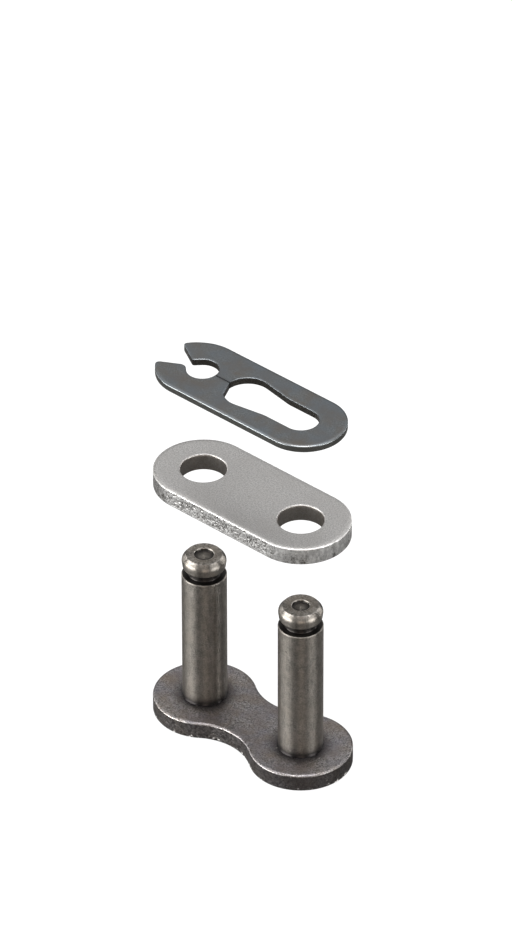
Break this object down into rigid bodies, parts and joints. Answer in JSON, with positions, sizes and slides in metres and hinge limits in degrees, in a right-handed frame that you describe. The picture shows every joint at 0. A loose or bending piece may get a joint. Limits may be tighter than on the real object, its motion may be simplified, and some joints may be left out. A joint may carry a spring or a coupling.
{
  "type": "chain connecting link",
  "caption": "Chain connecting link: waisted pin plate with riveted, grooved pins, a loose round-ended cover plate and a flat spring clip with a pear-shaped opening, set apart above the pins.",
  "frame": {"origin": "under the middle of the riveted pin ends, which the link stands on", "axes": "+Z along the pins towards the spring clip, +X along the chain towards the clip's closed end"},
  "size_m": [0.023, 0.0104, 0.0414],
  "materials": {
    "pin_plate_steel": "dark heat-treated steel, shot-blasted satin",
    "pin_steel": "dark heat-treated steel, ground satin",
    "cover_plate_steel": "bright nickel-grey satin with pitted sheared sides",
    "clip_steel": "blued spring steel, satin"
  },
  "bodies": {
    "pin_link": {"pin_plate": "pin_plate_steel", "rear_pin": "pin_steel", "front_pin": "pin_steel"},
    "cover_plate": {"cover_plate": "cover_plate_steel"},
    "spring_clip": {"spring_clip": "clip_steel"}
  },
  "joints": [
    {"name": "cover_plate_slide", "type": "slide", "parent": "pin_link", "child": "cover_plate", "axis": [0, 0, 1], "range_m": [-0.01275, 0.006]},
    {"name": "spring_clip_slide", "type": "slide", "parent": "cover_plate", "child": "spring_clip", "axis": [0, 0, 1], "range_m": [-0.011, 0]}
  ]
}
